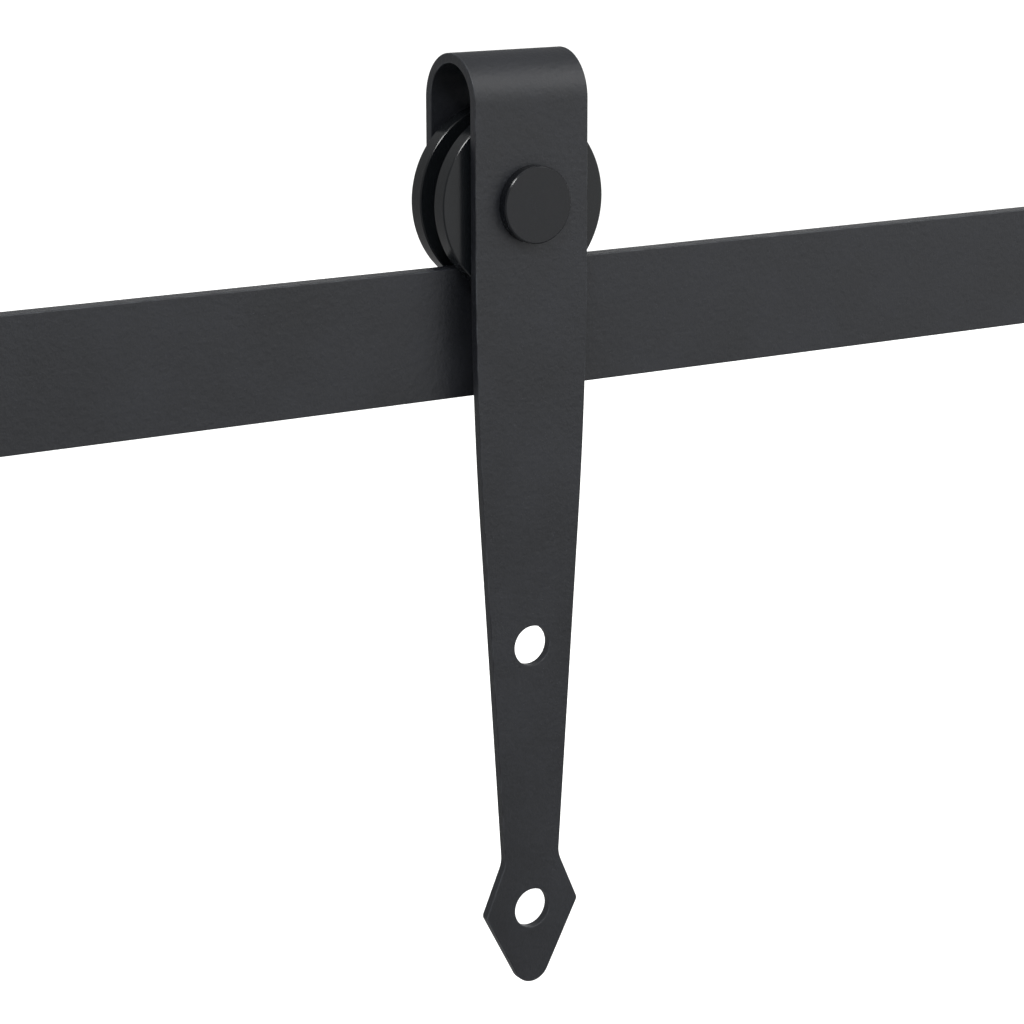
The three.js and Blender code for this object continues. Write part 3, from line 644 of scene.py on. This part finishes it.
def makeSleeve(place, s):
    low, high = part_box(f"{place}_sleeve")
    length = (high.y - low.y) / mm
    outer = (high.x - low.x) / 2 / mm
    bore, inEdge, outEdge = s["boreRadius"], s["boreEdge"], s["sleeveEdge"]
    corners = [(bore, 0, inEdge), (outer, 0, outEdge), (outer, length, outEdge), (bore, length, inEdge)]
    sleeve = turnedPiece(f"{place}_axle_sleeve", corners, (0, low.y, axleZ), facets=64)
    return settle(sleeve, "axle", "zinc_steel", zincPlate, f"{place}_sleeve")


def makeWasher(name, node, body, innerRadius):  # stamped: a rolled-over edge behind, a sharper one in front
    low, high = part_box(node)
    outer = (high.z - low.z) / 2 / mm
    thick = (high.y - low.y) / mm
    corners = [(innerRadius, 0, 0.2), (outer, 0, 0.15), (outer, thick, 0.45), (innerRadius, thick, 0.3)]
    centre = ((low.x + high.x) / 2, low.y, (low.z + high.z) / 2)
    return settle(turnedPiece(name, corners, centre, facets=72), body, "black_steel", blackOxide, node)


# A hexagon whose chamfered end meets its sides in the usual arcs: start is flat, end is chamfered.
def hexRings(flats, start, end, endRadius, soften=0.25, step=0.1):
    chamferAt = flats / 2 - step  # just inside the sides
    slope = tan(radians(30))
    towards = 1 if end > start else -1

    def arris(angle):
        radius = hexRadius(angle, flats)
        fall = max(0.0, radius - chamferAt) * slope
        return radius * mm, (end - (fall + step) * towards) * mm

    return [
        lambda angle: ((hexRadius(angle, flats) - soften) * mm, start * mm),
        lambda angle: (hexRadius(angle, flats) * mm, (start + soften * towards) * mm),
        arris,
        ((chamferAt - step) * mm, end * mm),
        (endRadius * mm, end * mm),
    ]


def makeLockNut(s):
    low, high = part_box("lock_nut")
    height = (high.y - low.y) / mm
    hexEnd = height - s["nutCollar"]
    pocket = s["insertOuter"] + s["insertGap"]
    bore, collar = s["boreRadius"], s["collarRadius"]
    rings = [(bore * mm, 0.0)] + hexRings(s["nutFlats"], 0, hexEnd, collar)
    tail = [(collar, hexEnd, 0), (collar, height, s["collarEdge"]), (pocket, height, 0.15),
            (pocket, hexEnd, 0), (bore, hexEnd, 0)]
    rings += openRings(tail)[1:]
    bm = turnedMesh(rings, standOn((0, low.y, axleZ), alongY), facets=96)
    settle(meshObject("lock_nut_body", bm), "axle", "black_steel", blackOxide, "lock_nut")
    low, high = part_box("lock_nut_insert")
    thick = (high.y - low.y) / mm
    corners = [(bore, 0, 0), (s["insertOuter"], 0, 0), (s["insertOuter"], thick, 0.15),
               (bore, thick, s["insertEdge"])]
    insert = turnedPiece("lock_nut_collar", corners, (0, low.y, axleZ), facets=64)
    settle(insert, "axle", "pale_nylon", naturalNylon, "lock_nut_insert")


makeAxleBolt(axleSizes)
makeSleeve("front", axleSizes)
makeSleeve("back", axleSizes)
makeWasher("back_leg_washer", "axle_washer", "axle", axleSizes["washerBore"])
makeLockNut(axleSizes)
print("axle set made")


bearingSizes = {
    "width": 8, "bore": 5.05, "innerShoulder": 7.4, "outerShoulder": 10.6, "outer": 12.95,
    "pitch": 9, "ball": 2.38, "balls": 7, "raceway": 2.45, "arcSteps": 12,
    "sealGap": 0.2, "sealFit": 0.05, "sealIn": 0.9, "sealOut": 0.2, "sealDish": 0.25,
    "rimOut": 0.7, "rimIn": 0.6, "rimSlope": 0.2,
}


def ballTree():  # balls spaced evenly round the pitch circle
    tree = bpy.data.node_groups.new("spaceTheBalls", "GeometryNodeTree")
    tree.interface.new_socket("Base", in_out="INPUT", socket_type="NodeSocketGeometry")
    tree.interface.new_socket("Count", in_out="INPUT", socket_type="NodeSocketInt")
    for name in ("Pitch Radius", "Ball Radius"):
        tree.interface.new_socket(name, in_out="INPUT", socket_type="NodeSocketFloat")
    tree.interface.new_socket("Centre", in_out="INPUT", socket_type="NodeSocketVector")
    tree.interface.new_socket("Finish", in_out="INPUT", socket_type="NodeSocketMaterial")
    tree.interface.new_socket("Balls", in_out="OUTPUT", socket_type="NodeSocketGeometry")
    given = addNode(tree, "NodeGroupInput").outputs
    circle = addNode(tree, "GeometryNodeMeshCircle",
                     {"Vertices": given["Count"], "Radius": given["Pitch Radius"]})
    stood = addNode(tree, "GeometryNodeTransform",  # stood up round +Y, its first point at the top
                    {"Geometry": circle, "Translation": given["Centre"], "Rotation": (pi / 2, -pi / 2, 0)})
    ball = addNode(tree, "GeometryNodeMeshIcoSphere", {"Radius": given["Ball Radius"], "Subdivisions": 4})
    spread = addNode(tree, "GeometryNodeInstanceOnPoints", {"Points": stood, "Instance": ball})
    real = addNode(tree, "GeometryNodeRealizeInstances", {0: spread})
    smooth = addNode(tree, "GeometryNodeSetShadeSmooth", {"Geometry": real})
    dressed = addNode(tree, "GeometryNodeSetMaterial", {"Geometry": smooth, "Material": given["Finish"]})
    addNode(tree, "NodeGroupOutput", {0: dressed})
    return tree


ballMaker = ballTree()


def makeBearing(place, s):
    low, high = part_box(f"{place}_outer_race")
    centre = Vector((0, (low.y + high.y) / 2, axleZ))
    half = s["width"] / 2
    mouth = acos((s["pitch"] - s["innerShoulder"]) / s["raceway"])
    angles = [mouth - 2 * mouth * i / s["arcSteps"] for i in range(s["arcSteps"] + 1)]
    innerArc = [(s["pitch"] - s["raceway"] * cos(a), -s["raceway"] * sin(a), 0) for a in angles]
    outerArc = [(s["pitch"] + s["raceway"] * cos(a), s["raceway"] * sin(a), 0) for a in angles]
    inner = [(s["bore"], -half, 0.3), (s["innerShoulder"], -half, 0.25), *innerArc,
             (s["innerShoulder"], half, 0.25), (s["bore"], half, 0.3)]
    outer = [(s["outer"], -half, 0.4), (s["outer"], half, 0.4), (s["outerShoulder"], half, 0.2), *outerArc,
             (s["outerShoulder"], -half, 0.2)]
    race = turnedPiece(f"{place}_bearing_inner_ring", inner, centre)
    settle(race, "axle", "bearing_steel", bearingSteel, f"{place}_inner_race")
    race = turnedPiece(f"{place}_bearing_outer_ring", outer, centre)
    settle(race, "wheel", "bearing_steel", bearingSteel, f"{place}_outer_race")
    for side, name in ((-1, "front"), (1, "back")):
        inside, outside = side * (half - s["sealIn"]), side * (half - s["sealOut"])
        inRadius, outRadius = s["innerShoulder"] + s["sealGap"], s["outerShoulder"] - s["sealFit"]
        dished = outside - side * s["sealDish"]  # the seal's face is sunk between its rims
        outRim, inRim = outRadius - s["rimOut"], inRadius + s["rimIn"]
        corners = [
            (inRadius, inside, 0.1), (outRadius, inside, 0.1), (outRadius, outside, 0.15),
            (outRim, outside, 0.1), (outRim - s["rimSlope"], dished, 0.1),
            (inRim + s["rimSlope"], dished, 0.1), (inRim, outside, 0.1), (inRadius, outside, 0.15),
        ]
        seal = turnedPiece(f"{place}_bearing_{name}_shield", corners, centre)
        settle(seal, "wheel", "seal_rubber", sealRubber, f"{place}_bearing_{name}_seal")
    balls = meshObject(f"{place}_ball_set", bmesh.new())
    runTree(balls, ballMaker, {
        "Count": s["balls"], "Pitch Radius": s["pitch"] * mm, "Ball Radius": s["ball"] * mm,
        "Centre": centre, "Finish": bearingSteel})
    settle(balls, f"{place}_ball_train", "bearing_steel", None,
           *[f"{place}_ball_{i}" for i in range(1, s["balls"] + 1)])


for place in ("front", "back"):
    makeBearing(place, bearingSizes)


def dressNode(node, material):  # a CAD part whose shape is right keeps it and gets its finish
    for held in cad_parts[node].material_slots:
        held.material = material


dressNode("front_cage", cagePolymer)
dressNode("back_cage", cagePolymer)
dressNode("retaining_ring", blackOxide)
print("bearings made")


lagSizes = {
    "flats": 13, "headHeight": 5.3, "crown": 0.6, "shank": 3.95, "root": 2.85, "runOut": 2,
    "threadLength": 60, "threadLead": 1.5, "threadTrim": 2.5, "point": 9, "ridge": 1.08, "pitch": 3.6,
    "spacerBore": 4.5, "boreEdge": 0.4, "spacerEdge": 0.6, "washerBore": 4.3,
}


def makeFixing(side, s):
    low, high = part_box(f"{side}_spacer")
    x = (low.x + high.x) / 2
    length = (high.y - low.y) / mm
    outer = (high.x - low.x) / 2 / mm
    bore, inEdge, outEdge = s["spacerBore"], s["boreEdge"], s["spacerEdge"]
    corners = [(bore, 0, inEdge), (outer, 0, outEdge), (outer, length, outEdge), (bore, length, inEdge)]
    spacer = turnedPiece(f"{side}_wall_spacer", corners, (x, low.y, 0))
    settle(spacer, "rail", "powder_coat", railCoat, f"{side}_spacer")
    makeWasher(f"{side}_rail_washer", f"{side}_washer", "rail", s["washerBore"])

    low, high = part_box(f"{side}_lag_bolt")
    total = (high.y - low.y) / mm
    seat = s["headHeight"]
    threadStart = total - s["threadLength"]
    head = hexRings(s["flats"], seat, 0, s["flats"] / 2 - s["crown"])
    shank = [
        (0, total, 0), (s["root"], total - s["point"], 0.6), (s["root"], threadStart + s["runOut"], 0),
        (s["shank"], threadStart, 0), (s["shank"], seat, 0),
    ]
    rings = openRings(shank) + head + [(0, 0)]
    origin = Vector((x, low.y, 0))
    bm = turnedMesh(rings, standOn(origin, alongY), facets=96, closed=False)
    bolt = meshObject(f"{side}_lag_screw", bm)
    ridgeLength = s["threadLength"] - s["threadTrim"]
    runTree(bolt, threads, {
        "Radius": s["root"] * mm, "Ridge": s["ridge"] * mm,
        "Start": (threadStart + s["threadLead"]) * mm,
        "Length": ridgeLength * mm, "Turns": ridgeLength / s["pitch"], "Point Length": s["point"] * mm,
        "Origin": origin, "Finish": blackOxide})
    settle(bolt, "rail", "black_steel", None, f"{side}_lag_bolt")


for side in ("left", "right"):
    makeFixing(side, lagSizes)
print("wall fixings made")


stopSizes = {
    "edge": 0.8, "slotPlay": 0.1, "slotLead": 0.5, "topFillet": 3, "footFillet": 1.5,
    "grub": 3, "grubPoint": 0.7, "grubLead": 0.5, "grubHole": 3.08, "holeDepth": 7,
    "sinkWider": 1.3, "sinkFrom": -0.6, "sinkTo": 0.2, "drillStart": -3,
    "socket": 1.75, "socketDepth": 2.5, "screwHole": 2.55, "screw": 2.5, "screwTaper": 0.3,
    "screwHead": 4.6, "screwHeadHeight": 3, "screwSocketDepth": 1.8,
    "bumperBore": 2.6, "recessGap": 0.4, "floorDrop": 1.5,
}
socketShape = {"rim": 0.45, "bevel": 0.12, "bevelEnd": 0.35, "drillPoint": 0.5}


def socketRings(top, depth, socketRadius, towards, shape=socketShape):  # a hex socket, from rim to floor
    flats = 2 * socketRadius * cos(pi / 6)
    bevel = shape["bevel"]
    return [
        ((socketRadius + shape["rim"]) * mm, top * mm),
        lambda angle: ((hexRadius(angle, flats) + bevel) * mm, (top - bevel * towards) * mm),
        lambda angle: (hexRadius(angle, flats) * mm, (top - shape["bevelEnd"] * towards) * mm),
        lambda angle: (hexRadius(angle, flats) * mm, (top - depth * towards) * mm),
        (0, (top - (depth + shape["drillPoint"]) * towards) * mm),
    ]


def makeGrub(side, end, s):
    node = f"{side}_stop_{end}_grub_screw"
    low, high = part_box(node)
    length = (high.y - low.y) / mm
    centre = ((low.x + high.x) / 2, low.y, (low.z + high.z) / 2)
    point, lead = s["grubPoint"], s["grubLead"]
    body = [(0, length, 0), (s["grub"] - point, length, 0.2), (s["grub"], length - point, 0.2),
            (s["grub"], lead, 0.2), (s["grub"] - lead, 0, 0)]
    rings = openRings(body) + socketRings(0, s["socketDepth"], s["socket"], -1)
    bm = turnedMesh(rings, standOn(centre, alongY), facets=72, closed=False)
    settle(meshObject(f"{side}_stop_{end}_set_screw", bm), "rail", "black_steel", blackOxide, node)
    return Vector(centre)


def cutHoles(obj, cutters):  # takes each cutter away from the piece and bakes the result into its mesh
    for cutter in cutters:
        modifier = obj.modifiers.new("hole", "BOOLEAN")
        modifier.object = cutter
        modifier.solver = "EXACT"
    baked(obj)
    for cutter in cutters:
        bpy.data.objects.remove(cutter)
    smoothShade(obj.data)


def makeStop(side, s):
    low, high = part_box(f"{side}_stop_block")
    bumperLow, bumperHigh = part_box(f"{side}_stop_bumper")
    bumperCentre = (bumperLow + bumperHigh) / 2
    slotFront, slotBack = railLow.y - s["slotPlay"] * mm, railHigh.y + s["slotPlay"] * mm
    slotTop = railHigh.z + s["slotPlay"] * mm
    foot, top, lead = s["footFillet"] * mm, s["topFillet"] * mm, s["slotLead"] * mm
    corners = [
        (low.y, low.z, foot), (slotFront, low.z, lead), (slotFront, slotTop, 0), (slotBack, slotTop, 0),
        (slotBack, low.z, lead), (high.y, low.z, foot), (high.y, high.z, top), (low.y, high.z, top),
    ]
    outline = rounded(corners, arcStep=radians(10))
    hole = circleLoop(bumperCentre.y, bumperCentre.z, s["screwHole"] * mm, 48)
    lying = Matrix(((0, 0, 1, low.x), (1, 0, 0, 0), (0, 1, 0, 0), (0, 0, 0, 1)))
    bm = plateMesh(outline, [hole], high.x - low.x, s["edge"] * mm, lying)
    block = meshObject(f"{side}_stop_saddle", bm)
    cutters = []
    for end in ("left", "right"):
        centre = makeGrub(side, end, s)
        hole, sink = s["grubHole"], s["grubHole"] + s["sinkWider"]
        drill = [(0, s["drillStart"], 0), (sink, s["drillStart"], 0), (sink, s["sinkFrom"], 0),
                 (hole, s["sinkTo"], 0), (hole, s["holeDepth"], 0), (0, s["holeDepth"], 0)]
        cutters.append(turnedPiece("drill", drill, centre, facets=48))
    cutHoles(block, cutters)
    settle(block, "rail", "powder_coat", railCoat, f"{side}_stop_block")

    # bumper and screw are turned about an axis that points at the hanger
    inwards = Vector((-1 if bumperCentre.x > 0 else 1, 0, 0))
    baseX = bumperHigh.x if inwards.x < 0 else bumperLow.x
    base = Vector((baseX, bumperCentre.y, bumperCentre.z))
    radius = (bumperHigh.z - bumperLow.z) / 2 / mm
    thick = (bumperHigh.x - bumperLow.x) / mm
    recess, floor = s["screwHead"] + s["recessGap"], thick - s["screwHeadHeight"] - s["floorDrop"]
    corners = [(s["bumperBore"], 0, 0), (radius, 0, 0.3), (radius, thick, 1.6), (recess, thick, 0.7),
               (recess, floor, 0), (s["bumperBore"], floor, 0)]
    bumper = turnedPiece(f"{side}_rubber_bumper", corners, base, inwards)
    settle(bumper, "rail", "bumper_rubber", bumperRubber, f"{side}_stop_bumper")

    screwLow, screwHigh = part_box(f"{side}_bumper_screw")
    tailX = screwHigh.x if inwards.x < 0 else screwLow.x
    length = (screwHigh.x - screwLow.x) / mm
    seat = length - s["screwHeadHeight"]
    body = [(0, 0, 0), (s["screw"] - s["screwTaper"], 0, 0.2), (s["screw"], 0.5, 0), (s["screw"], seat, 0),
            (s["screwHead"], seat, 0.2), (s["screwHead"], length, 0.9),
            (s["socket"] + socketShape["rim"], length, 0)]
    rings = openRings(body) + socketRings(length, s["screwSocketDepth"], s["socket"], 1)[1:]
    tail = Vector((tailX, bumperCentre.y, bumperCentre.z))
    bm = turnedMesh(rings, standOn(tail, inwards), facets=72, closed=False)
    settle(meshObject(f"{side}_bumper_fixing_screw", bm), "rail", "black_steel", blackOxide,
           f"{side}_bumper_screw")


for side in ("left", "right"):
    makeStop(side, stopSizes)
print("end stops made")


studio = {  # the floor's drop below the strap is in millimetres, the other lengths are in metres
    "floorDrop": 80, "floorSize": 40, "floorColour": "#f4f4f3", "floorRoughness": 0.9,
    "worldLight": 0.37, "backdrop": 1.0,  # the room as light, and as what is seen behind
    "overheadSize": 60, "overheadHeight": 4, "overheadRadiance": 0.96,
}
# azimuth 0 is straight in front of the wall and grows to the right; sizes and distances are in metres
softboxes = {
    "key": {"azimuth": 42, "elevation": 37, "distance": 1.7, "size": (1.7, 1.15), "radiance": 2.3},
    "front": {"azimuth": 28, "elevation": -2, "distance": 1.8, "size": (2.9, 0.8), "radiance": 0.845},
    "top": {"azimuth": 30, "elevation": 86, "distance": 2.2, "size": (1.5, 1.5), "radiance": 0.9},
    "back": {"azimuth": 138, "elevation": -4, "distance": 1.9, "size": (2.4, 0.9), "radiance": 0.9},
    "glint": {"azimuth": -39, "elevation": 46, "distance": 2.0, "size": (0.4, 0.4), "radiance": 34},
}
cameraSizes = {
    "lens": 99.96, "sensor": 36, "yaw": 32.065, "pitch": 14.315, "roll": -0.113, "distance": 877.4,
    "nearest": 0.01, "farthest": 200,
    "target": (-7.46, 0, -94.97),  # from the axle's axis at the strap's front face
}


def areaLight(name, size, radiance):
    light = bpy.data.lights.new(name, "AREA")
    light.shape = "RECTANGLE"
    light.size, light.size_y = size
    light.energy = radiance * pi * size[0] * size[1]
    obj = bpy.data.objects.new(name, light)
    obj.visible_camera = False
    bpy.context.scene.collection.objects.link(obj)
    return obj


def addSoftbox(name, s, centre):
    azimuth, elevation = radians(s["azimuth"]), radians(s["elevation"])
    away = Vector((sin(azimuth) * cos(elevation), -cos(azimuth) * cos(elevation), sin(elevation)))
    box = areaLight(name, s["size"], s["radiance"])
    box.location = centre + away * s["distance"]
    box.rotation_euler = away.to_track_quat("Z", "Y").to_euler()


def makeStudio(s):
    scene = bpy.context.scene
    scene.view_settings.view_transform = "Standard"
    scene.view_settings.look = "None"
    world = bpy.data.worlds.new("white_room")
    world.use_nodes = True
    air = world.node_tree.nodes["Background"].inputs
    air["Color"].default_value = (1, 1, 1, 1)
    seen = addNode(world.node_tree, "ShaderNodeLightPath").outputs["Is Camera Ray"]
    strength = addNode(world.node_tree, "ShaderNodeMapRange",
                       {"Value": seen, "To Min": s["worldLight"], "To Max": s["backdrop"]})
    world.node_tree.links.new(strength.outputs[0], air["Strength"])
    scene.world = world

    bm = bmesh.new()
    half = s["floorSize"] / 2
    floorZ = cadBox[0][2] - s["floorDrop"] * mm
    corners = ((-half, -half), (half, -half), (half, half), (-half, half))
    bm.faces.new([bm.verts.new((x, y, floorZ)) for x, y in corners])
    mesh = bpy.data.meshes.new("floor")
    bm.to_mesh(mesh)
    bm.free()
    floor = bpy.data.objects.new("floor", mesh)
    scene.collection.objects.link(floor)
    mesh.materials.append(newMaterial("matt_white_floor", Base_Color=linearColour(s["floorColour"]),
                                      Roughness=s["floorRoughness"])[0])
    floor.visible_glossy = False  # the dark coat mirrors the room and the softboxes, not the white floor

    centre = Vector((0, strapFrontY, axleZ))
    for name, sizes in softboxes.items():
        addSoftbox(name, sizes, centre)
    overhead = areaLight("overhead", (s["overheadSize"], s["overheadSize"]), s["overheadRadiance"])
    overhead.location = (0, 0, floorZ + s["overheadHeight"])
    overhead.visible_glossy = False  # it whitens the floor and leaves no reflection


def makeCamera(s):
    yaw, pitch = radians(s["yaw"]), radians(s["pitch"])
    forward = Vector((sin(yaw) * cos(pitch), cos(yaw) * cos(pitch), -sin(pitch)))
    target = Vector((0, strapFrontY, axleZ)) + Vector(s["target"]) * mm
    camera = bpy.data.objects.new("camera", bpy.data.cameras.new("camera"))
    camera.data.lens = s["lens"]
    camera.data.sensor_width = s["sensor"]
    camera.data.clip_start = s["nearest"]
    camera.data.clip_end = s["farthest"]
    camera.location = target - forward * s["distance"] * mm
    turn = forward.to_track_quat("-Z", "Y").to_matrix() @ Matrix.Rotation(radians(s["roll"]), 3, "Z")
    camera.rotation_euler = turn.to_euler()
    bpy.context.scene.collection.objects.link(camera)
    bpy.context.scene.camera = camera


makeCamera(cameraSizes)
makeStudio(studio)
print("studio set up")
